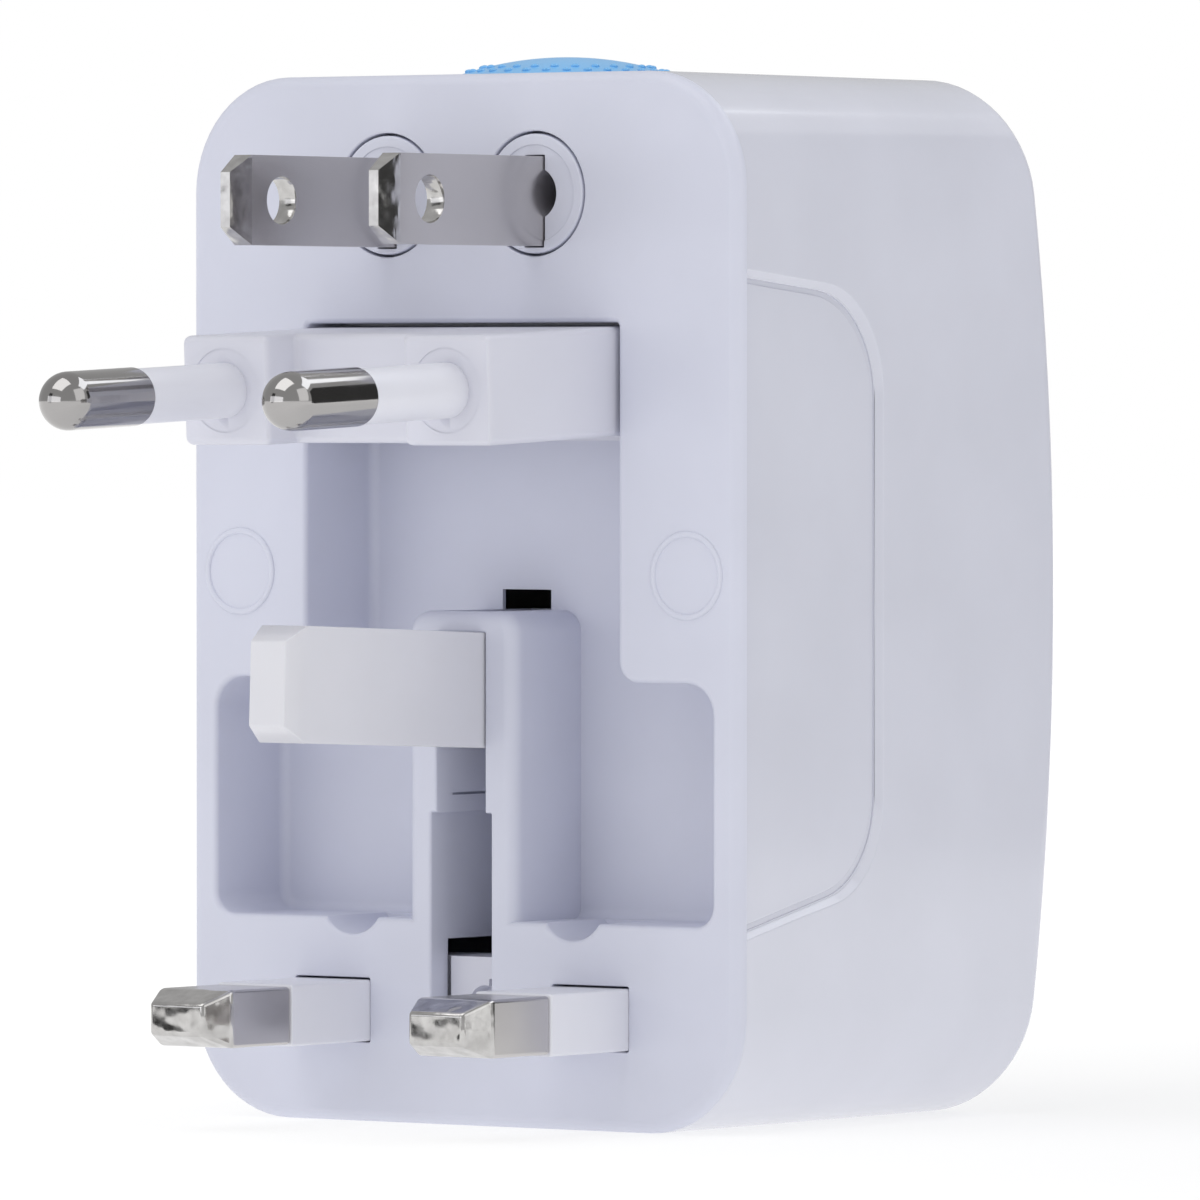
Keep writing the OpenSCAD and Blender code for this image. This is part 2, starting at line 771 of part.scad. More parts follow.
rear_plate();
main_shell();
socket_plate();
contact_frame();
shutter();
shutter_spring();
live_contact();
neutral_contact();
live_bus();
neutral_bus();
eu_block();
eu_pin_left();
eu_pin_right();
eu_sleeve_left();
eu_sleeve_right();
eu_axle_left();
eu_axle_right();
earth_pin();
earth_axle();
uk_carriage();
uk_blade_left();
uk_blade_right();
uk_sleeve_left();
uk_sleeve_right();
us_carriage();
us_disc_left();
us_disc_right();
us_blade_left();
us_blade_right();
us_button();
button_spring();
screw_cap_left();
screw_cap_right();
case_screws();
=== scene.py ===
"""Universal travel adapter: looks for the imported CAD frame.

Lengths in this script are millimetres until a mesh is made; MM turns them into metres.
+X is right, +Z is up, and a "depth" is a distance behind the plug face, along +Y.
"""
import math

import bmesh
import bpy
from mathutils import Matrix, Vector


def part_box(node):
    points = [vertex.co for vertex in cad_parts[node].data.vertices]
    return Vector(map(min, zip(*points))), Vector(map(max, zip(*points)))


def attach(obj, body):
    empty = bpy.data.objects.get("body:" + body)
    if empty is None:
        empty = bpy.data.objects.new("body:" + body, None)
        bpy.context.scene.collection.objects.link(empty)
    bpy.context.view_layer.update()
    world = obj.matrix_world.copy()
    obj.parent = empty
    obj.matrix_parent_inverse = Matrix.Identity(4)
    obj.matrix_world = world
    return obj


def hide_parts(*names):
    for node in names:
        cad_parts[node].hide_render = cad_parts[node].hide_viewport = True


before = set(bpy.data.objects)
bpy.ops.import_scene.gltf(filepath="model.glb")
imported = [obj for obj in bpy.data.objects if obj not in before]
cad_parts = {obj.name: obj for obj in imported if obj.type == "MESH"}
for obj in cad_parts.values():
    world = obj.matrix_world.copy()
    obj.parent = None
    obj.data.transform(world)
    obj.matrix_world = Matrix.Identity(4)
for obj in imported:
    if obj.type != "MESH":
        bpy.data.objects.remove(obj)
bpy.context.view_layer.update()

MM = 0.001
CLEAR = 1.0
OVERLAP = 0.4


def corner_mm(node):
    """Lowest and highest corner of a CAD node, in millimetres."""
    low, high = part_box(node)
    return low / MM, high / MM


# ---- Sizes ------------------------------------------------------------------

plate_low, plate_high = corner_mm("rear_plate")
shell_low, shell_high = corner_mm("main_shell")
FACE_Y = plate_low.y
BODY_W = plate_high.x - plate_low.x
BODY_H = plate_high.z
BODY_D = shell_high.y - FACE_Y
MID_Z = BODY_H / 2
RIM = shell_low.y - FACE_Y
PLATE_T = 2.0
CORNER_R = 8.0
CROWN_R = 166.0
WALL = 1.8
FACE_EDGE_R = 0.9
BACK_EDGE_R = 1.0

RECESS_DEPTH = 7.7
RECESS_LIP = 0.4
RECESS_FILLET = 0.7
TUB_WALL = 1.2
RECESS_HALF_W = 13.45
RECESS_TOP = 55.35
POCKET_HALF_W = 21.36
POCKET_LOW = 14.2
POCKET_HIGH = 30.75
COLUMN_HALF_W = 4.65
COLUMN_TOP = 35.5
COLUMN_EDGE_R = 1.0
COLUMN_CORNER_R = 1.5
TIP_NOTCH_R = 2.7
TIP_NOTCH_Z = POCKET_LOW + 1.5
TIP_NOTCH_DEPTH = RECESS_DEPTH - 0.8
SHELF_W = 31.0
SHELF_T = 1.3
SHELF_Z = 58.6
SHELF_BACK = 26.0

CHANNEL_DEPTH = 11.1
CHANNEL_TOP = 36.9
CHANNEL_STEP = 21.6
CHANNEL_FLOOR = 12.8
CHANNEL_LOW = 6.2
SLOT_HALF_W = 2.1
CHANNEL_HALF_W = 2.6
BRIDGE_LOW = COLUMN_TOP - 1.45
BRIDGE_T = 0.9

EU_HALF_PITCH = 9.5
EU_BLOCK_OUT = 14.2
EU_AXIS_DEPTH = 3.8
EU_AXIS_Z = 51.45
EU_DROOP = 2.4
EARTH_AXIS_DEPTH = 3.4
EARTH_AXIS_Z = 31.895
EARTH_RISE = 2.2
UK_HALF_PITCH = 11.11
UK_Z = 7.73
UK_SLOT = (6.52, 4.49)
UK_SLOT_Z = UK_Z + 0.03
UK_TAPER = 2.2
US_HALF_PITCH = 6.35
US_DROP = 0.53
US_TAPER = 2.0
US_HOLE_AT = 12.8
US_HOLE_R = 1.65
US_DISC_Z = 64.2
US_DISC_HOLE_R = 4.3
CAP_X = 19.25
CAP_Z = 38.1
CAP_SEAT_R = 2.96
CAP_SEAT_DEPTH = 1.8

SOCKET_Z = 25.0
EARTH_SOCKET_Z = SOCKET_Z + 22.22
GROUND_SOCKET_Z = SOCKET_Z + 11.9
INSERT_W = 40.0
INSERT_H = 45.6
INSERT_R = 0.9
INSERT_FLANGE = (32.9, 34.2)
FLANGE_W = 1.2
ROUND_WAY_R = 2.6
BLADE_WAY = (1.9, 7.4, 0.2)
WAY_START = 30

GRIP_SINK = 0.4
GRIP_REACH = 16.9
GRIP_STEP = 0.2
GRIP_HIGH = (60.1, 57.2)
GRIP_LOW = (10.4, 16.9)
BUTTON_DEPTH = 12.45
BUTTON_R = 8.0


# ---- Mesh helpers -----------------------------------------------------------

def place(x, depth, z):
    """A point given in millimetres as X, depth and Z, in the frame's metres."""
    return Vector((x, FACE_Y + depth, z)) * MM


def to_object(name, bm):
    """A mesh object from a bmesh that is already in metres."""
    bmesh.ops.recalc_face_normals(bm, faces=bm.faces)
    mesh = bpy.data.meshes.new(name)
    bm.to_mesh(mesh)
    bm.free()
    obj = bpy.data.objects.new(name, mesh)
    bpy.context.scene.collection.objects.link(obj)
    return obj


def rounded_path(corners, steps=8):
    """A closed outline through corners given as (u, v, radius), with true arcs."""
    points = []
    count = len(corners)
    for i, (u, v, radius) in enumerate(corners):
        here = Vector((u, v))
        before = Vector(corners[i - 1][:2]) - here
        after = Vector(corners[(i + 1) % count][:2]) - here
        if radius <= 0:
            points.append(here)
            continue
        half = before.angle(after) / 2
        reach = radius / math.tan(half)
        bisector = (before.normalized() + after.normalized()).normalized()
        centre = here + bisector * (radius / math.sin(half))
        first = here + before.normalized() * reach - centre
        last = here + after.normalized() * reach - centre
        turn = first.angle_signed(last)
        for k in range(steps + 1):
            a = -turn * k / steps
            points.append(centre + Matrix.Rotation(a, 2) @ first)
    return [(p.x, p.y) for p in points]


def rectangle(w, h, r, u=0.0, v=0.0, steps=8):
    """A centred rectangle with round corners."""
    signs = ((-1, -1), (1, -1), (1, 1), (-1, 1))
    return rounded_path([(u + su * w / 2, v + sv * h / 2, r) for su, sv in signs], steps)


def circle(u, v, r, steps=64):
    """A circle as a closed outline."""
    return [(u + r * math.cos(2 * math.pi * k / steps), v + r * math.sin(2 * math.pi * k / steps))
            for k in range(steps)]


def skin(name, loops, caps=True, ring=False):
    """A closed surface through loops of the same number of points."""
    bm = bmesh.new()
    rows = [[bm.verts.new(p) for p in loop] for loop in loops]
    pairs = list(zip(rows, rows[1:]))
    if ring:
        pairs.append((rows[-1], rows[0]))
    count = len(rows[0])
    for low, high in pairs:
        for i in range(count):
            j = (i + 1) % count
            bm.faces.new((low[i], low[j], high[j], high[i]))
    if caps and not ring:
        bm.faces.new(rows[0])
        bm.faces.new(rows[-1])
    return to_object(name, bm)


def edge_roll(radius, steps=6):
    """(inset, depth) along a rounded edge, from the side to the face."""
    return [(radius * (1 - math.cos(a)), radius * (1 - math.sin(a)))
            for a in (math.pi / 2 * k / steps for k in range(steps + 1))]


def grown(points, distance):
    """A closed outline moved outward by a distance (inward when it is negative)."""
    count = len(points)
    area = sum(points[i - 1][0] * points[i][1] - points[i][0] * points[i - 1][1] for i in range(count))
    sign = 1 if area > 0 else -1
    sharpest = 0.4
    moved = []
    for i, point in enumerate(points):
        here = Vector(point)
        first = (here - Vector(points[i - 1])).normalized()
        second = (Vector(points[(i + 1) % count]) - here).normalized()
        one = Vector((first.y, -first.x)) * sign
        normal = (one + Vector((second.y, -second.x)) * sign).normalized()
        moved.append(tuple(here + normal * distance / max(sharpest, normal.dot(one))))
    return moved


def pocket_tool(name, outline, depth, lip, fillet=0.0, steps=5):
    """A cutter for a pocket in the face, with a rounded rim and a filleted floor."""
    rows = [(lip, -CLEAR)] + edge_roll(lip, steps)[::-1]
    if fillet:
        rows += [(-inset, depth - rise) for inset, rise in edge_roll(fillet, steps)]
    else:
        rows.append((0.0, depth))
    return skin(name, [[place(u, d, v) for u, v in grown(outline, grow)] for grow, d in rows])


def slab(name, outline, front, back):
    """An X-Z outline made solid between two depths."""
    return skin(name, [[place(u, d, v) for u, v in outline] for d in (front, back)])


def across(name, outline, left, right):
    """A depth-Z outline made solid between two X."""
    return skin(name, [[place(x, d, z) for d, z in outline] for x in (left, right)])


def bake(obj):
    """Applies an object's modifiers to its mesh."""
    graph = bpy.context.evaluated_depsgraph_get()
    mesh = bpy.data.meshes.new_from_object(obj.evaluated_get(graph))
    obj.modifiers.clear()
    old = obj.data
    obj.data = mesh
    mesh.name = obj.name
    bpy.data.meshes.remove(old)


def combine(obj, tool, operation):
    """Joins, cuts or intersects obj with a helper object, which is then removed."""
    modifier = obj.modifiers.new("combine", "BOOLEAN")
    modifier.operation = operation
    modifier.solver = "EXACT"
    modifier.object = tool
    bake(obj)
    mesh = tool.data
    bpy.data.objects.remove(tool)
    bpy.data.meshes.remove(mesh)


def cut(obj, tool):
    """Takes a helper object out of obj."""
    combine(obj, tool, "DIFFERENCE")


def join(obj, tool):
    """Adds a helper object to obj."""
    combine(obj, tool, "UNION")


def soften(obj, width, segments=3, weight=None, angle=35.0, clamp=True):
    """Rounds the sharp edges; weight(middle point in mm) scales the width of each."""
    same_point, same_plane = 0.002 * MM, math.radians(0.4)
    bm = bmesh.new()
    bm.from_mesh(obj.data)
    bmesh.ops.remove_doubles(bm, verts=bm.verts, dist=same_point)
    bmesh.ops.dissolve_limit(bm, angle_limit=same_plane, verts=bm.verts, edges=bm.edges)
    bm.normal_update()
    layer = bm.edges.layers.float.new("bevel_weight_edge")
    for edge in bm.edges:
        if len(edge.link_faces) == 2 and edge.calc_face_angle() >= math.radians(angle):
            middle = (edge.verts[0].co + edge.verts[1].co) / 2 / MM
            edge[layer] = weight(middle) if weight else 1.0
    bm.to_mesh(obj.data)
    bm.free()
    bevel = obj.modifiers.new("round_edges", "BEVEL")
    bevel.limit_method = "WEIGHT"
    bevel.width = width * MM
    bevel.segments = segments
    bevel.use_clamp_overlap = clamp
    bake(obj)


def shade(obj, sharp=40.0):
    """Smooth shading that stays flat on flat faces."""
    mesh = obj.data
    mesh.polygons.foreach_set("use_smooth", [True] * len(mesh.polygons))
    mesh.set_sharp_from_angle(angle=math.radians(sharp))
    modifier = obj.modifiers.new("even_normals", "WEIGHTED_NORMAL")
    modifier.keep_sharp = True
    modifier.weight = 80


def finish_piece(obj, body, material, slot, *nodes):
    """Gives a piece its material and its body, and hides the CAD nodes it stands for."""
    obj.data.materials.clear()
    obj.data.materials.append(material)
    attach(obj, body)
    if nodes:
        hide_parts(*nodes)


# ---- Materials --------------------------------------------------------------

MOTTLE_SCALE = 90
GLOSS_SCALE = 260
WAVE_SCALE = 55
PLASTIC_IOR = 1.5
COAT_ROUGHNESS = 0.06
SCATTER_MM = 0.6


def new_material(name):
    """A material with one Principled shader, and that shader."""
    material = bpy.data.materials.new(name)
    material.use_nodes = True
    nodes = material.node_tree.nodes
    nodes.clear()
    output = nodes.new("ShaderNodeOutputMaterial")
    shader = nodes.new("ShaderNodeBsdfPrincipled")
    material.node_tree.links.new(shader.outputs[0], output.inputs[0])
    return material, shader


def noise(material, scale, detail=4.0, stretch=None):
    """A noise texture in the object's own coordinates."""
    nodes, links = material.node_tree.nodes, material.node_tree.links
    coordinates = nodes.new("ShaderNodeTexCoord")
    texture = nodes.new("ShaderNodeTexNoise")
    texture.inputs["Scale"].default_value = scale
    texture.inputs["Detail"].default_value = detail
    source = coordinates.outputs["Object"]
    if stretch:
        mapping = nodes.new("ShaderNodeMapping")
        mapping.inputs["Scale"].default_value = stretch
        links.new(source, mapping.inputs["Vector"])
        source = mapping.outputs["Vector"]
    links.new(source, texture.inputs["Vector"])
    return texture.outputs["Fac"]


def ramp(material, source, low, high, low_at=0.35, high_at=0.65):
    """A colour ramp from one colour to another."""
    nodes, links = material.node_tree.nodes, material.node_tree.links
    node = nodes.new("ShaderNodeValToRGB")
    node.color_ramp.elements[0].position = low_at
    node.color_ramp.elements[1].position = high_at
    node.color_ramp.elements[0].color = (*low, 1)
    node.color_ramp.elements[1].color = (*high, 1)
    links.new(source, node.inputs["Fac"])
    return node.outputs["Color"]


def remap(material, source, low, high):
    """The middle of a noise's range, stretched to run from low to high."""
    nodes, links = material.node_tree.nodes, material.node_tree.links
    node = nodes.new("ShaderNodeMapRange")
    node.inputs["From Min"].default_value = 0.3
    node.inputs["From Max"].default_value = 0.7
    node.inputs["To Min"].default_value = low
    node.inputs["To Max"].default_value = high
    links.new(source, node.inputs["Value"])
    return node.outputs["Result"]


def bumps(material, shader, layers):
    """Stacks bump layers, each (texture output, strength, height in mm)."""
    nodes, links = material.node_tree.nodes, material.node_tree.links
    normal = None
    for source, strength, height in layers:
        node = nodes.new("ShaderNodeBump")
        node.inputs["Strength"].default_value = strength
        node.inputs["Distance"].default_value = height * MM
        links.new(source, node.inputs["Height"])
        if normal is not None:
            links.new(normal, node.inputs["Normal"])
        normal = node.outputs["Normal"]
    links.new(normal, shader.inputs["Normal"])


def plastic(name, colour, roughness, grain_scale, grain_height, wave_height=0.0, spread=0.02,
            rough_spread=0.05, subsurface=0.0, coat=0.0):
    """Moulded plastic: faint colour mottling, uneven gloss, fine grain and slow waviness."""
    material, shader = new_material(name)
    links = material.node_tree.links
    dark = tuple(c * (1 - spread) for c in colour)
    light = tuple(min(1.0, c * (1 + spread)) for c in colour)
    links.new(ramp(material, noise(material, MOTTLE_SCALE, 5), dark, light), shader.inputs["Base Color"])
    gloss = noise(material, GLOSS_SCALE, 6)
    rough = remap(material, gloss, roughness - rough_spread, roughness + rough_spread)
    links.new(rough, shader.inputs["Roughness"])
    shader.inputs["IOR"].default_value = PLASTIC_IOR
    shader.inputs["Subsurface Weight"].default_value = subsurface
    shader.inputs["Subsurface Radius"].default_value = (1.0, 0.9, 0.85)
    shader.inputs["Subsurface Scale"].default_value = SCATTER_MM * MM
    shader.inputs["Coat Weight"].default_value = coat
    shader.inputs["Coat Roughness"].default_value = COAT_ROUGHNESS
    layers = [(noise(material, grain_scale, 3), 0.35, grain_height)]
    if wave_height:
        layers.append((noise(material, WAVE_SCALE, 1), 0.3, wave_height))
    bumps(material, shader, layers)
    return material


def metal(name, colour, roughness, brush_scale, stretch, scratch_height, rough_spread=0.08,
          spread=0.06):
    """Plated metal with drawn lines, faint scratches and uneven polish."""
    material, shader = new_material(name)
    links = material.node_tree.links
    shader.inputs["Metallic"].default_value = 1.0
    dark = tuple(c * (1 - spread) for c in colour)
    light = tuple(min(1.0, c * (1 + spread)) for c in colour)
    links.new(ramp(material, noise(material, 140, 6), dark, light), shader.inputs["Base Color"])
    rough = remap(material, noise(material, 420, 5), roughness - rough_spread, roughness + rough_spread)
    links.new(rough, shader.inputs["Roughness"])
    lines = noise(material, brush_scale, 4, stretch)
    bumps(material, shader, [(lines, 0.25, scratch_height), (noise(material, 320, 2), 0.1, 0.008)])
    return material


def ground_metal():
    """Bright ground tips, with dents and grinding marks across them."""
    material, shader = new_material("ground_nickel")
    shader.inputs["Metallic"].default_value = 1.0
    tint = ramp(material, noise(material, 900, 4), (0.50, 0.49, 0.48), (0.62, 0.61, 0.60))
    material.node_tree.links.new(tint, shader.inputs["Base Color"])
    rough = remap(material, noise(material, 1100, 4), 0.05, 0.2)
    material.node_tree.links.new(rough, shader.inputs["Roughness"])
    marks = noise(material, 1500, 3, (1, 1, 0.25))
    bumps(material, shader, [(noise(material, 520, 1), 0.9, 0.14), (marks, 0.5, 0.02)])
    return material


FACE_PLASTIC = plastic("face_plastic", (0.665, 0.68, 0.785), 0.42, 2600, 0.006, 0.02, subsurface=0.08)
SHELL_PLASTIC = plastic("shell_plastic", (0.68, 0.69, 0.775), 0.16, 1500, 0.0012, 0.02,
                        rough_spread=0.02, subsurface=0.08, coat=0.35)
SOCKET_PLASTIC = plastic("socket_plastic", (0.665, 0.68, 0.78), 0.4, 2400, 0.006, 0.02, subsurface=0.08)
INNER_PLASTIC = plastic("inner_plastic", (0.52, 0.52, 0.55), 0.5, 2000, 0.008)
# Near-black painted shade: stands for the darkness inside the disc holes, not the colour of a real part.
HOLE_SHADE_BLACK = plastic("painted_hole_shade", (0.03, 0.03, 0.032), 0.5, 2000, 0.008)
PIN_PLASTIC = plastic("pin_plastic", (0.69, 0.695, 0.775), 0.36, 2400, 0.004, 0.01, rough_spread=0.02,
                      subsurface=0.08)
SLEEVE_PLASTIC = plastic("sleeve_plastic", (0.765, 0.77, 0.835), 0.34, 2200, 0.002, rough_spread=0.015,
                         spread=0.01, subsurface=0.1)
EARTH_PLASTIC = plastic("earth_plastic", (0.735, 0.735, 0.78), 0.38, 2200, 0.004, 0.01,
                        rough_spread=0.02, subsurface=0.1)
BUTTON_PLASTIC = plastic("button_plastic", (0.2, 0.53, 0.92), 0.32, 2200, 0.003, 0.01, spread=0.04,
                         rough_spread=0.02)
PIN_METAL = metal("pin_nickel", (0.41, 0.40, 0.395), 0.1, 700, (1, 0.08, 1), 0.002, 0.03, 0.03)
BLADE_METAL = metal("blade_nickel", (0.60, 0.58, 0.57), 0.24, 900, (1, 0.05, 1), 0.003, 0.02, 0.02)
GROUND_METAL = ground_metal()
BRASS = metal("contact_brass", (0.78, 0.58, 0.25), 0.3, 900, (1, 1, 0.06), 0.006)
STEEL = metal("spring_steel", (0.55, 0.55, 0.57), 0.3, 900, (0.06, 1, 1), 0.006)


# ---- Plug plate -------------------------------------------------------------

def body_ring(inset, steps=14):
    """The body's outline, moved inward."""
    return rectangle(BODY_W - 2 * inset, BODY_H - 2 * inset, CORNER_R - inset, 0, MID_Z, steps)


def recess_path(grow=0.0):
    """The recess: the block's bay above and the two pin pockets below."""
    g, h = grow, grow * 0.3
    low_r, shoulder_r, inner_r, top_r = 1.5, 2.2, 1.5, 0.35
    half = [(POCKET_HALF_W + h, POCKET_LOW - g, low_r), (POCKET_HALF_W + h, POCKET_HIGH + g, shoulder_r),
            (RECESS_HALF_W + g, POCKET_HIGH + g, inner_r), (RECESS_HALF_W + g, RECESS_TOP + g, top_r)]
    mirror = [(-u, v, r) for u, v, r in half[::-1]]
    return rounded_path(mirror[3:] + half + mirror[:3], 7)


def make_column():
    """The column between the pockets, with broad round edges; its foot is inside the plate."""
    foot, r = POCKET_LOW - 2.5, COLUMN_CORNER_R
    outline = rounded_path([(-COLUMN_HALF_W, foot, 0), (COLUMN_HALF_W, foot, 0),
                            (COLUMN_HALF_W, COLUMN_TOP, r), (-COLUMN_HALF_W, COLUMN_TOP, r)], 8)
    rows = [(-inset, depth) for inset, depth in edge_roll(COLUMN_EDGE_R)[::-1]]
    rows.append((0.0, RECESS_DEPTH + OVERLAP))
    return skin("column", [[place(u, d, v) for u, v in grown(outline, grow)] for grow, d in rows])


def make_plug_plate():
    """The plug plate with its tub behind the face, the openings in it and the column's channel."""
    inner = WALL + 0.05
    profile = [(inner, PLATE_T), (inner, RIM), (0.0, RIM)] + edge_roll(FACE_EDGE_R)
    loops = [[place(u, depth, v) for u, v in body_ring(inset)] for inset, depth in profile]
    plate = skin("plug_plate", loops)
    join(plate, slab("tub", recess_path(TUB_WALL), RIM + OVERLAP, RECESS_DEPTH + TUB_WALL))
    rib_h = CHANNEL_TOP + TUB_WALL - CHANNEL_FLOOR
    rib = rectangle(2 * (CHANNEL_HALF_W + TUB_WALL), rib_h, 0, 0, CHANNEL_FLOOR + rib_h / 2)
    join(plate, slab("rib", rib, RIM + 0.2, CHANNEL_DEPTH + TUB_WALL))
    join(plate, slab("shelf", rectangle(SHELF_W, SHELF_T, 0, 0, SHELF_Z), RIM + 0.3, SHELF_BACK))
    cut(plate, pocket_tool("recess", recess_path(), RECESS_DEPTH, RECESS_LIP, RECESS_FILLET))
    for side in (-1, 1):
        cut_face_openings(plate, side)
    join(plate, make_column())
    cut_channel(plate)
    shade(plate)
    finish_piece(plate, "housing", FACE_PLASTIC, "face_plastic", "rear_plate")


def cut_face_openings(plate, side):
    """The openings that both sides of the plate have."""
    through = PLATE_T + CLEAR
    notch = circle(side * EU_HALF_PITCH, TIP_NOTCH_Z, TIP_NOTCH_R)
    cut(plate, pocket_tool("tip_notch", notch, TIP_NOTCH_DEPTH, lip=0.3))
    disc_hole = circle(side * US_HALF_PITCH, US_DISC_Z, US_DISC_HOLE_R)
    cut(plate, pocket_tool("disc_hole", disc_hole, through, lip=0.12))
    blade_slot = rectangle(*UK_SLOT, 0.15, side * UK_HALF_PITCH, UK_SLOT_Z, 3)
    cut(plate, pocket_tool("blade_slot", blade_slot, through, lip=0.1))
    cut(plate, slab("cap_seat", circle(side * CAP_X, CAP_Z, CAP_SEAT_R), -CLEAR, CAP_SEAT_DEPTH))


def cut_channel(plate):
    """The channel for the folded earth pin: wide below, narrow above, and bridged at its top."""
    under_h = 2.0
    under = rectangle(2 * COLUMN_HALF_W + 1, under_h, 0, 0, CHANNEL_FLOOR - under_h / 2)
    cut(plate, slab("under_column", under, PLATE_T + 0.02, RECESS_DEPTH + 1.8))
    wide = rectangle(2 * CHANNEL_HALF_W, CHANNEL_STEP - CHANNEL_LOW, 0.1, 0,
                     (CHANNEL_STEP + CHANNEL_LOW) / 2, 2)
    cut(plate, pocket_tool("channel", wide, CHANNEL_DEPTH, lip=0.25))
    slot_low = CHANNEL_STEP - CLEAR
    slot = rectangle(2 * SLOT_HALF_W, BRIDGE_LOW - slot_low, 0.1, 0, (BRIDGE_LOW + slot_low) / 2, 2)
    cut(plate, pocket_tool("slot", slot, CHANNEL_DEPTH, lip=0.2))
    behind = rectangle(2 * SLOT_HALF_W, CHANNEL_TOP - slot_low, 0, 0, (CHANNEL_TOP + slot_low) / 2)
    cut(plate, slab("slot_top", behind, BRIDGE_T, CHANNEL_DEPTH))
    near, far, slit_z, slit_h = 1.9, 7.0, 22.75, 0.17
    slit = [(near, slit_z), (far, slit_z), (far, slit_z + slit_h), (near, slit_z + slit_h)]
    cut(plate, across("wall_slit", slit, -SLOT_HALF_W - 0.4, 0))
    hole_w, hole_x, hole_h = 11.0, -2.0, CHANNEL_TOP - COLUMN_TOP
    hole = rectangle(hole_w, hole_h, 0, hole_x, COLUMN_TOP + hole_h / 2)
    cut(plate, slab("floor_hole", hole, RECESS_DEPTH + 0.35, CHANNEL_DEPTH + 4.9))


# ---- Shell ------------------------------------------------------------------

SIDE_STEPS = 72
TOP_STEPS = 12
BEND_STEPS = 14


def dense_ring(w, h, r):
    """A rounded rectangle with the same number of points whatever its size."""
    half_w, half_h = w / 2 - r, h / 2 - r
    arcs = []
    for su, sv, start in ((1, 1, 0), (-1, 1, 90), (-1, -1, 180), (1, -1, 270)):
        turn = [math.radians(start + 90 * i / BEND_STEPS) for i in range(BEND_STEPS + 1)]
        u, v = su * half_w, MID_Z + sv * half_h
        arcs.append([(u + r * math.cos(a), v + r * math.sin(a)) for a in turn])
    points = []
    for k, arc in enumerate(arcs):
        first, last = Vector(arc[-1]), Vector(arcs[(k + 1) % 4][0])
        steps = TOP_STEPS if k % 2 == 0 else SIDE_STEPS
        points += arc + [tuple(first.lerp(last, i / steps)) for i in range(1, steps)]
    return points


def crown_depth(z, margin=0.0):
    """Depth of the socket face's crown at a height."""
    r = CROWN_R - margin
    return BODY_D - CROWN_R + math.sqrt(r * r - (z - MID_Z) ** 2)


def crown_ring(w, h, r, sink=0.0, margin=0.0):
    """A ring on the crown, sunk below it."""
    return [place(u, crown_depth(v, margin) - sink, v) for u, v in dense_ring(w, h, r)]


def make_shell():
    """The glossy shell: a crowned, hollow box with a window for the socket and a grip in each side."""
    outer = dense_ring(BODY_W, BODY_H, CORNER_R)
    loops = [[place(u, RIM, v) for u, v in outer]]
    for inset, sink in edge_roll(BACK_EDGE_R, 7):
        loops.append(crown_ring(BODY_W - 2 * inset, BODY_H - 2 * inset, CORNER_R - inset, sink))
    gap, lip = 0.1, 0.25
    window_w, window_h, window_r = INSERT_W + 2 * gap, INSERT_H + 2 * gap, INSERT_R + gap
    for grow, sink in edge_roll(lip, 3)[::-1]:
        loops.append(crown_ring(window_w + 2 * grow, window_h + 2 * grow, window_r + grow, sink))
    loops.append(crown_ring(window_w, window_h, window_r, 0, WALL))
    hollow = (BODY_W - 2 * WALL, BODY_H - 2 * WALL, CORNER_R - WALL)
    loops.append(crown_ring(*hollow, 0, WALL))
    loops.append([place(u, RIM, v) for u, v in dense_ring(*hollow)])
    shell = skin("main_shell_piece", loops, ring=True)
    for side in (-1, 1):
        cut(shell, grip_tool(side))
        cut(shell, groove_tool(side))
    cut(shell, button_well())
    soften(shell, 0.2, 4, grip_edge, 12)
    shade(shell, 50)
    finish_piece(shell, "housing", SHELL_PLASTIC, "shell_plastic", "main_shell")


def grip_ring(side, grow, height):
    """The grip's outline, grown and raised from the side of the shell."""
    start, far, high_r, low_r = -14.0, GRIP_REACH + grow, 7.5, 7.0
    outline = rounded_path([(start, GRIP_HIGH[0] + grow, 0), (far, GRIP_HIGH[1] + grow, high_r),
                            (far, GRIP_LOW[1] - grow, low_r), (start, GRIP_LOW[0] - grow, 0)], 14)
    return [place(side * (BODY_W / 2 + height), d, z) for d, z in outline]


def grip_tool(side):
    """Cuts a shallow grip into a side, with a sloping step round it."""
    skirt = 2.0
    steepness = 2 * GRIP_STEP / GRIP_SINK
    return skin("grip", [grip_ring(side, -GRIP_STEP, -GRIP_SINK),
                         grip_ring(side, -GRIP_STEP + steepness * (GRIP_SINK + skirt), skirt)])


def groove_tool(side):
    """Cuts a fine groove at the foot of the grip's step."""
    near, far, top = -GRIP_STEP - 0.1, -GRIP_STEP - 0.45, 1.0
    floor = -GRIP_SINK - 0.13
    return skin("groove", [grip_ring(side, near, floor), grip_ring(side, far, floor),
                           grip_ring(side, far, top), grip_ring(side, near, top)], ring=True)


def grip_edge(p):
    """Only the outline of the sunk grips is rounded: the rest of the shell has its own arcs."""
    depth, x, margin = p.y - FACE_Y, abs(p.x), 0.05
    near_side = BODY_W / 2 - GRIP_SINK - margin < x < BODY_W / 2 + margin
    near_grip = RIM + margin < depth < GRIP_REACH + 1.2 and 11 < p.z < 62
    return 1.0 if near_side and near_grip else 0.0


def lathe(name, profile, centre, steps=96):
    """A solid turned about a vertical axis: profile is (radius, z) from the bottom up."""
    loops = []
    for radius, z in profile:
        loops.append([Vector(((centre[0] + radius * math.cos(2 * math.pi * k / steps)) * MM,
                              (centre[1] + radius * math.sin(2 * math.pi * k / steps)) * MM, z * MM))
                      for k in range(steps)])
    return skin(name, loops)


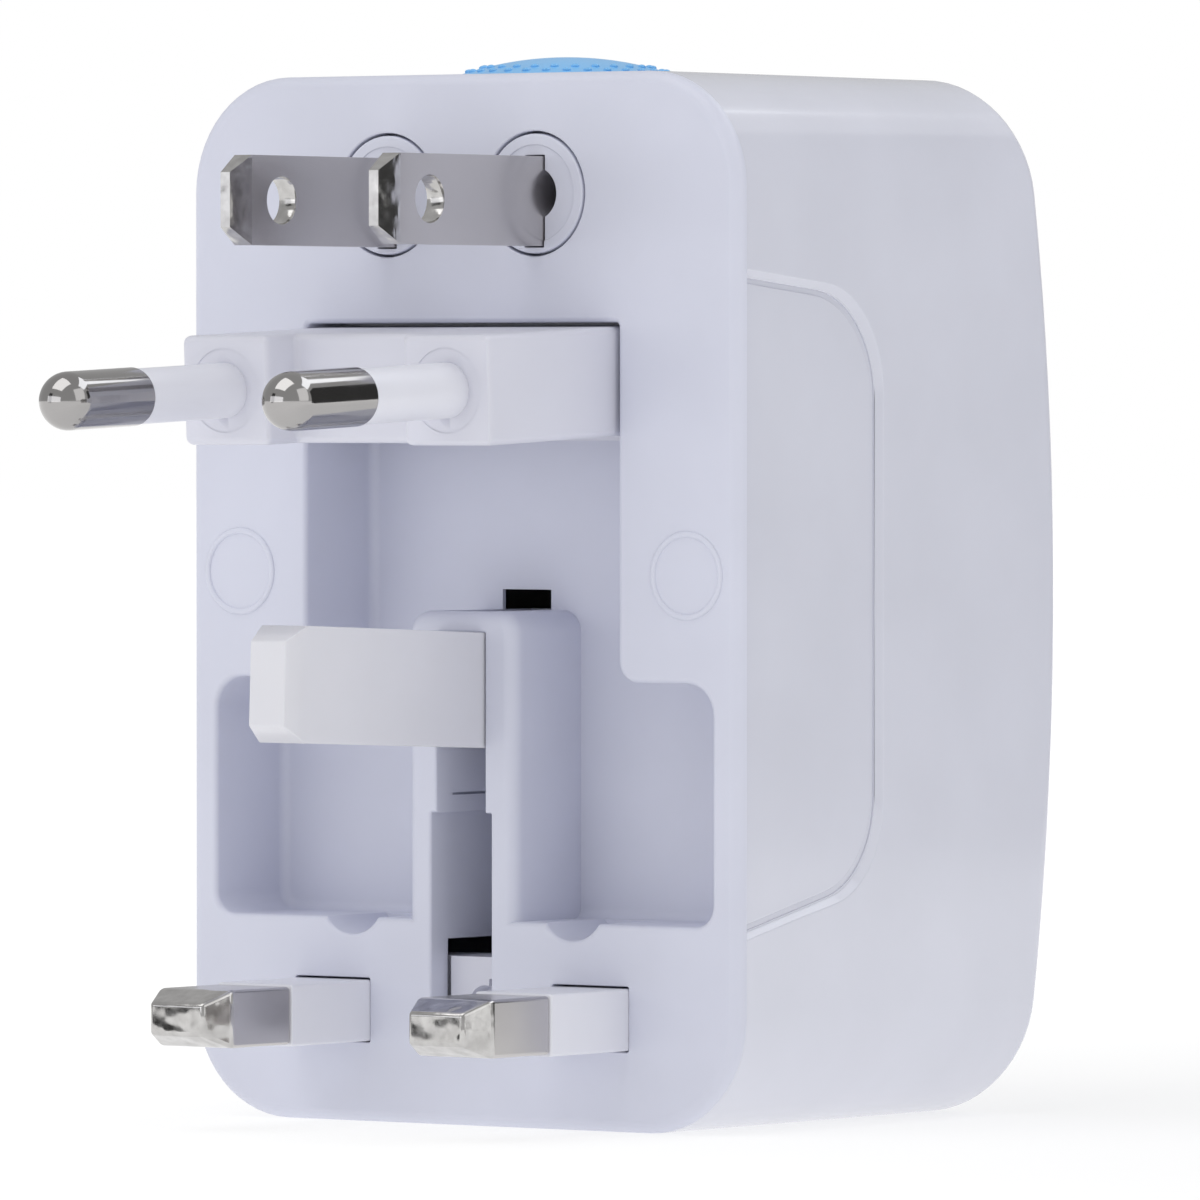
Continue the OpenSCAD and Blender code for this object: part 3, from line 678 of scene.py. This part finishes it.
def button_well():
    """The hole for the button, flared where it meets the top."""
    r, flare = BUTTON_R + 0.1, 0.3
    profile = [(r, BODY_H - 4.0)] + [(r + grow, BODY_H - sink) for grow, sink in edge_roll(flare, 4)]
    profile.append((r + flare, BODY_H + 2.0))
    return lathe("button_well", profile, (0, FACE_Y + BUTTON_DEPTH))


# ---- Socket insert ----------------------------------------------------------

def make_socket_insert():
    """The crowned socket insert with its flange and the ways for every kind of plug."""
    low, high = MID_Z - INSERT_H / 2, MID_Z + INSERT_H / 2
    arc = [(crown_depth(low + (high - low) * k / 40), low + (high - low) * k / 40) for k in range(41)]
    front, back = INSERT_FLANGE
    insert = across("socket_insert", [(front, high), (front, low)] + arc,
                    -INSERT_W / 2 - CLEAR, INSERT_W / 2 + CLEAR)
    outline = rectangle(INSERT_W, INSERT_H, INSERT_R, 0, MID_Z)
    combine(insert, slab("insert_outline", outline, front - CLEAR, BODY_D + CLEAR), "INTERSECT")
    flange = rectangle(INSERT_W + 2 * FLANGE_W, INSERT_H + 2 * FLANGE_W, 0.5, 0, MID_Z)
    join(insert, slab("flange", flange, front + 0.02, back))
    ways = [(rectangle(4.8, 8.8, 0.4, 0, EARTH_SOCKET_Z, 4), 41.0),
            (circle(0, GROUND_SOCKET_Z, ROUND_WAY_R, 48), 41.0)]
    for side in (-1, 1):
        ways.append((rectangle(7, 4.6, 0.3, side * UK_HALF_PITCH, SOCKET_Z, 4), 41.0))
        ways.append((circle(side * EU_HALF_PITCH, SOCKET_Z, ROUND_WAY_R, 48), 41.2))
        ways.append((rectangle(*BLADE_WAY, side * US_HALF_PITCH, SOCKET_Z, 4), 41.4))
        ways.append((slanted(side), 41.6))
    for way, far in ways:
        cut(insert, slab("way", way, WAY_START, far))
    soften(insert, 0.22, 3, lambda p: p.y - FACE_Y > back + 0.8)
    shade(insert)
    finish_piece(insert, "housing", SOCKET_PLASTIC, "socket_plastic", "socket_plate")


def slanted(side):
    """The outline of a blade slot that leans 30 degrees."""
    turn = Matrix.Rotation(math.radians(-30 * side), 2)
    centre = Vector((side * (US_HALF_PITCH + 0.7), SOCKET_Z))
    return [tuple(turn @ Vector(p) + centre) for p in rectangle(*BLADE_WAY, 0, 0, 4)]


# ---- Pins and small pieces --------------------------------------------------

def node_copy(node, name):
    """A new piece with a CAD node's mesh."""
    obj = bpy.data.objects.new(name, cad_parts[node].data.copy())
    bpy.context.scene.collection.objects.link(obj)
    return obj


def softened_copy(node, name, body, material, slot, width, segments=3, angle=35.0):
    """A finished piece made from a CAD node's mesh, with its sharp edges rounded."""
    obj = node_copy(node, name)
    soften(obj, width, segments, angle=angle)
    shade(obj)
    finish_piece(obj, body, material, slot, node)
    return obj


def repaint(obj, material, test):
    """Gives the faces whose middle (in mm) passes the test a second material."""
    obj.data.materials.append(material)
    index = len(obj.data.materials) - 1
    for polygon in obj.data.polygons:
        if test(polygon.center / MM):
            polygon.material_index = index


def make_block():
    """The folding block, with a shallow dished ring round each sleeve."""
    block = node_copy("eu_block", "folding_block")
    ring_r, sink = 2.9, 0.06
    for side in (-1, 1):
        cut(block, turned_pin("ring", side, [(-sink, ring_r), (2, ring_r)]))
    soften(block, 0.5, 4, block_edge, clamp=False)
    shade(block)
    finish_piece(block, "eu_plug", PIN_PLASTIC, "pin_plastic", "eu_block")


def block_edge(p):
    """Only the outline of the block is rounded, not the rims of the sleeve and axle holes."""
    back = p.y - FACE_Y - EU_AXIS_DEPTH
    middle = EU_AXIS_Z + back * math.tan(math.radians(EU_DROOP))
    in_front = p.y < FACE_Y - EU_BLOCK_OUT + 6
    near_sleeve = in_front and math.hypot(abs(p.x) - EU_HALF_PITCH, p.z - middle) < 3.1
    near_axle = math.hypot(back, p.z - EU_AXIS_Z) < 1.6
    return 0.0 if near_sleeve or near_axle else 1.0


def make_earth_pin():
    """The earth pin, which stands a little above level in its slot."""
    pin = node_copy("earth_pin", "earth_pin_piece")
    soften(pin, 0.38, 4, lambda p: 1.0 if p.y < FACE_Y - 0.5 else 0.5)
    pivot = Vector((0, FACE_Y + EARTH_AXIS_DEPTH, EARTH_AXIS_Z)) * MM
    turn = Matrix.Rotation(math.radians(-EARTH_RISE), 4, "X")
    pin.data.transform(Matrix.Translation(pivot) @ turn @ Matrix.Translation(-pivot))
    shade(pin)
    finish_piece(pin, "earth", EARTH_PLASTIC, "earth_plastic", "earth_pin")


def make_carriages():
    """The two carriages; the key of the rectangular pins' one has a small dish."""
    carriage = node_copy("uk_carriage", "rectangular_pin_carriage")
    dish_x, dish_z, dish_r, dish_floor = 0.65, 8.3, 1.35, 3.6
    cut(carriage, slab("key_dish", circle(dish_x, dish_z, dish_r, 48), CLEAR, dish_floor))
    soften(carriage, 0.12)
    shade(carriage)
    finish_piece(carriage, "uk_plug", PIN_PLASTIC, "pin_plastic", "uk_carriage")
    softened_copy("us_carriage", "blade_carriage", "us_slider", PIN_PLASTIC, "pin_plastic", 0.15)


def make_disc(side, word):
    """A turning disc with a rounded rim and a shallow dish inside it."""
    disc = node_copy(f"us_disc_{word}", f"turning_disc_{word}")
    x, dish_r, rim_r = side * US_HALF_PITCH, 3.35, 3.9
    cut(disc, slab("dish", circle(x, US_DISC_Z, dish_r), -CLEAR, 0.1))
    soften(disc, 0.24, 4, lambda p: 1.0 if math.hypot(p.x - x, p.z - US_DISC_Z) > rim_r else 0.3)
    shade(disc)
    finish_piece(disc, f"disc_{word}", FACE_PLASTIC, "face_plastic", f"us_disc_{word}")


def make_blade(side, word):
    """A flat blade: satin faces, a polished ground tip and hole, and its root deep in the disc painted
    near black as painted shade of the hole.
    """
    blade = softened_copy(f"us_blade_{word}", f"flat_blade_{word}", f"blade_{word}", BLADE_METAL,
                          "blade_nickel", 0.14, 3, 15)
    low = corner_mm(f"us_blade_{word}")[0]
    hole_y, hole_z = FACE_Y - US_HOLE_AT, US_DISC_Z - US_DROP
    repaint(blade, GROUND_METAL, lambda p: p.y < low.y + US_TAPER + 0.05
            or (math.hypot(p.y - hole_y, p.z - hole_z) < US_HOLE_R + 0.01
                and abs(p.x - side * US_HALF_PITCH) < 0.72))
    # Painted shade: the blade's faces more than 2.6 mm behind the face are painted near black so that
    # the hole in the disc looks dark.
    repaint(blade, HOLE_SHADE_BLACK, lambda p: p.y > FACE_Y + 2.6)


def make_plug_pieces():
    """The block, the pins and blades with their discs, sleeves and carriages, and the caps."""
    make_block()
    make_earth_pin()
    make_carriages()
    for side, word in ((-1, "left"), (1, "right")):
        pin = softened_copy(f"uk_blade_{word}", f"rectangular_pin_{word}", "uk_plug", BLADE_METAL,
                            "blade_nickel", 0.3, 4, 15)
        tip = corner_mm(f"uk_blade_{word}")[0].y
        repaint(pin, GROUND_METAL, lambda p: p.y < tip + UK_TAPER + 0.1)
        softened_copy(f"uk_sleeve_{word}", f"rectangular_sleeve_{word}", "uk_plug", SLEEVE_PLASTIC,
                      "sleeve_plastic", 0.2)
        make_disc(side, word)
        make_blade(side, word)
        make_cap(side, word)


def make_cap(side, word):
    """A screw cap flush with the face, with a low bead round it."""
    bead_r, bead_w, bead_h, side_r = 2.83, 0.22, 0.15, CAP_SEAT_R - 0.03
    rows = [(side_r, 0.8), (side_r, 0.01)]
    for k in range(9):
        a = math.pi * k / 8
        rows.append((bead_r + bead_w * math.cos(a), 0.005 - bead_h * math.sin(a)))
    rows.append((1.0, 0.0))
    cap = skin(f"cap_{word}", [[place(u, depth, v) for u, v in circle(side * CAP_X, CAP_Z, r, 72)]
                               for r, depth in rows])
    shade(cap, 60)
    finish_piece(cap, "housing", FACE_PLASTIC, "face_plastic", f"screw_cap_{word}")


def along_pin(side, out, angle, radius):
    """A point on a round pin's surface, out millimetres from the block's front face."""
    flat = Vector((radius * math.cos(angle), -out, radius * math.sin(angle)))
    droop = Matrix.Rotation(math.radians(EU_DROOP), 3, "X")
    pivot = Vector((0, FACE_Y + EU_AXIS_DEPTH, EU_AXIS_Z))
    offset = Vector((side * EU_HALF_PITCH, -EU_BLOCK_OUT - EU_AXIS_DEPTH, 0))
    return (pivot + droop @ (offset + flat)) * MM


def turned_pin(name, side, profile, steps=64):
    """A solid turned about a round pin's axis: profile is (distance out, radius)."""
    loops = [[along_pin(side, out, 2 * math.pi * k / steps, radius) for k in range(steps)]
             for out, radius in profile]
    return skin(name, loops)


def make_round_pins():
    """The round pins: a core with a ball end, and a plastic sleeve that stops at a fine groove."""
    pin_r, sleeve_r, core_r, boundary, length = 2.0, 1.9, 1.49, 10.0, 19.0
    ball = [(length - pin_r + pin_r * math.sin(a), max(pin_r * math.cos(a), 0.004))
            for a in (math.pi / 2 * k / 14 for k in range(15))]
    metal = [(-7.8, core_r), (boundary + 0.02, core_r), (boundary + 0.02, pin_r - 0.14),
             (boundary + 0.06, pin_r - 0.04), (boundary + 0.16, pin_r)] + ball
    sleeve = [(-3.9, sleeve_r), (-0.05, sleeve_r), (boundary - 0.2, sleeve_r),
              (boundary - 0.06, sleeve_r - 0.04), (boundary, sleeve_r - 0.14), (boundary, core_r + 0.01)]
    for side, word in ((-1, "left"), (1, "right")):
        pin = turned_pin(f"round_pin_{word}", side, metal)
        shade(pin, 30)
        finish_piece(pin, "eu_plug", PIN_METAL, "pin_nickel", f"eu_pin_{word}")
        cover = turned_pin(f"round_sleeve_{word}", side, sleeve)
        shade(cover, 30)
        finish_piece(cover, "eu_plug", SLEEVE_PLASTIC, "sleeve_plastic", f"eu_sleeve_{word}")


def make_button():
    """A low dome with rings of raised dots near its rim."""
    low, high = corner_mm("us_button")
    centre = ((low.x + high.x) / 2, (low.y + high.y) / 2)
    radius, rise, top = BUTTON_R, high.z - BODY_H, high.z
    flange_r, flange_z, edge, tiny = radius + 0.8, low.z + 0.7, 0.15, 0.001
    sphere = (radius ** 2 + rise ** 2) / (2 * rise)
    profile = [(tiny, low.z), (flange_r, low.z), (flange_r, flange_z), (radius, flange_z),
               (radius, BODY_H - edge)]
    for k in range(17):
        r = (radius - edge) * (1 - k / 16) + tiny * (k / 16)
        profile.append((r, top - sphere + math.sqrt(sphere ** 2 - r ** 2)))
    button = lathe("release_button", profile, centre)
    bm = bmesh.new()
    bm.from_mesh(button.data)
    for ring_r, count in ((6.9, 30), (5.9, 26)):
        z = top - sphere + math.sqrt(sphere ** 2 - ring_r ** 2)
        for k in range(count):
            a = 2 * math.pi * (k + 0.5) / count
            x, y = centre[0] + ring_r * math.cos(a), centre[1] + ring_r * math.sin(a)
            spot = Matrix.Translation(Vector((x, y, z)) * MM)
            bmesh.ops.create_uvsphere(bm, u_segments=12, v_segments=8, radius=0.3 * MM,
                                      matrix=spot @ Matrix.Diagonal((1, 1, 0.6, 1)))
    bm.to_mesh(button.data)
    bm.free()
    shade(button)
    finish_piece(button, "button", BUTTON_PLASTIC, "button_plastic", "us_button")


def dress_inner_nodes():
    """The pieces inside keep their CAD shape and get real materials."""
    kinds = {
        INNER_PLASTIC: ("contact_frame", "shutter"),
        BRASS: ("live_contact", "neutral_contact", "live_bus", "neutral_bus"),
        STEEL: ("shutter_spring", "button_spring", "eu_axle_left", "eu_axle_right", "earth_axle",
                "case_screws"),
    }
    for material, names in kinds.items():
        for name in names:
            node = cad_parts[name]
            node.data.materials.clear()
            node.data.materials.append(material)


# ---- Studio -----------------------------------------------------------------

CAMERA_AZIMUTH = 36.38
CAMERA_ELEVATION = 0.96
CAMERA_DISTANCE = 865.6
CAMERA_LENS = 370.0
CAMERA_SENSOR = 36.0
CAMERA_TARGET = (-1.68, -0.78, 36.0)

FADE_CENTRE = (0.1, 0.06, 0)
FADE_START = 0.07
FADE_END = 0.24
FADE_FLOOR = 0.55
FLOOR_GLOW = 1.1


def direction(azimuth, elevation):
    """The way out from the object: azimuth 0 is straight in front of the plug face."""
    a, e = math.radians(azimuth), math.radians(elevation)
    return Vector((math.sin(a) * math.cos(e), -math.cos(a) * math.cos(e), math.sin(e)))


def make_camera():
    """A long lens, so that the adapter keeps nearly parallel edges."""
    data = bpy.data.cameras.new("camera")
    data.lens = CAMERA_LENS
    data.sensor_width = CAMERA_SENSOR
    data.clip_start, data.clip_end = 0.01, 20
    camera = bpy.data.objects.new("camera", data)
    bpy.context.scene.collection.objects.link(camera)
    back = direction(CAMERA_AZIMUTH, CAMERA_ELEVATION)
    camera.location = (Vector(CAMERA_TARGET) + back * CAMERA_DISTANCE) * MM
    look = (-back).to_track_quat("-Z", "Y").to_matrix().to_4x4()
    camera.matrix_world = Matrix.Translation(camera.location) @ look
    bpy.context.scene.camera = camera


def soft_light(name, azimuth, elevation, distance, size, radiance, colour=(1, 1, 1)):
    """A rectangular softbox aimed at the object, unseen by the camera."""
    data = bpy.data.lights.new(name, "AREA")
    data.shape = "RECTANGLE"
    data.size, data.size_y = size
    data.energy = math.pi * size[0] * size[1] * radiance
    data.color = colour
    light = bpy.data.objects.new(name, data)
    bpy.context.scene.collection.objects.link(light)
    back = direction(azimuth, elevation)
    light.location = Vector((0, 0, MID_Z * MM)) + back * distance
    light.rotation_euler = back.to_track_quat("Z", "Y").to_euler()
    light.visible_camera = False


def emitter(name, radiance):
    """A material that only glows."""
    material = bpy.data.materials.new(name)
    material.use_nodes = True
    nodes = material.node_tree.nodes
    nodes.clear()
    output = nodes.new("ShaderNodeOutputMaterial")
    glow = nodes.new("ShaderNodeEmission")
    glow.inputs["Strength"].default_value = radiance
    material.node_tree.links.new(glow.outputs[0], output.inputs[0])
    return material


def dark_card(azimuth, distance, width, low, high):
    """A dark card that only reflections see, so that polished metal gets its dark bands."""
    out = direction(azimuth, 0)
    along = Vector((-out.y, out.x, 0)) * width / 2
    bm = bmesh.new()
    corners = [out * distance + along * side + Vector((0, 0, z)) for side, z in
               ((-1, low), (1, low), (1, high), (-1, high))]
    bm.faces.new([bm.verts.new(c) for c in corners])
    card = to_object("dark_card", bm)
    card.data.materials.append(emitter("card_black", radiance=0.06))
    card.visible_camera = card.visible_diffuse = card.visible_shadow = False


def paper():
    """White paper near the object that brightens into the lit backdrop further out."""
    material, shader = new_material("floor_paper")
    nodes, links = material.node_tree.nodes, material.node_tree.links
    tint = ramp(material, noise(material, 3, 3), (0.93, 0.93, 0.93), (0.95, 0.95, 0.95))
    links.new(tint, shader.inputs["Base Color"])
    shader.inputs["Roughness"].default_value = 0.9
    coordinates = nodes.new("ShaderNodeTexCoord")
    length = nodes.new("ShaderNodeVectorMath")
    length.operation = "LENGTH"
    shift = nodes.new("ShaderNodeVectorMath")
    shift.operation = "SUBTRACT"
    shift.inputs[1].default_value = FADE_CENTRE
    links.new(coordinates.outputs["Object"], shift.inputs[0])
    links.new(shift.outputs["Vector"], length.inputs[0])
    fade = nodes.new("ShaderNodeMapRange")
    fade.interpolation_type = "SMOOTHSTEP"
    fade.inputs["From Min"].default_value = FADE_START
    fade.inputs["From Max"].default_value = FADE_END
    fade.inputs["To Min"].default_value = FADE_FLOOR
    links.new(length.outputs["Value"], fade.inputs["Value"])
    glow = nodes.new("ShaderNodeEmission")
    glow.inputs["Strength"].default_value = FLOOR_GLOW
    mix = nodes.new("ShaderNodeMixShader")
    links.new(fade.outputs["Result"], mix.inputs["Fac"])
    links.new(shader.outputs[0], mix.inputs[1])
    links.new(glow.outputs[0], mix.inputs[2])
    output = next(n for n in nodes if n.type == "OUTPUT_MATERIAL")
    links.new(mix.outputs[0], output.inputs["Surface"])
    return material


def make_studio():
    """A pale floor in a white backdrop, four softboxes and two dark cards."""
    bm = bmesh.new()
    bmesh.ops.create_grid(bm, x_segments=2, y_segments=2, size=6)
    floor = to_object("floor", bm)
    floor.location.z = -0.02 * MM
    floor.data.materials.append(paper())

    bm = bmesh.new()
    bmesh.ops.create_uvsphere(bm, u_segments=48, v_segments=24, radius=5)
    backdrop = to_object("backdrop", bm)
    backdrop.data.materials.append(emitter("backdrop_white", 1.0))
    backdrop.visible_diffuse = backdrop.visible_glossy = backdrop.visible_shadow = False

    world = bpy.data.worlds.new("studio")
    world.use_nodes = True
    sky = world.node_tree.nodes["Background"]
    sky.inputs["Color"].default_value = (1.0, 1.0, 1.0, 1)
    sky.inputs["Strength"].default_value = 0.5
    bpy.context.scene.world = world
    soft_light("overhead", -20, 62, 1.1, (0.9, 0.9), 1.4)
    soft_light("front_low", -20, 8, 0.36, (0.34, 0.1), 1.15, (0.97, 0.98, 1.02))
    soft_light("right", 85, 24, 1.1, (0.8, 0.9), 0.72)
    soft_light("back_right", 180 - CAMERA_AZIMUTH, 52, 1.0, (0.9, 0.4), 1.6, (0.96, 0.99, 1.04))
    dark_card(180 - CAMERA_AZIMUTH, 0.5, 0.5, 0.0, 0.36)
    dark_card(-CAMERA_AZIMUTH, 0.6, 0.16, 0.0, 0.30)
    bpy.context.scene.view_settings.view_transform = "Standard"


make_camera()
make_plug_plate()
make_shell()
make_socket_insert()
make_plug_pieces()
make_round_pins()
make_button()
dress_inner_nodes()
make_studio()
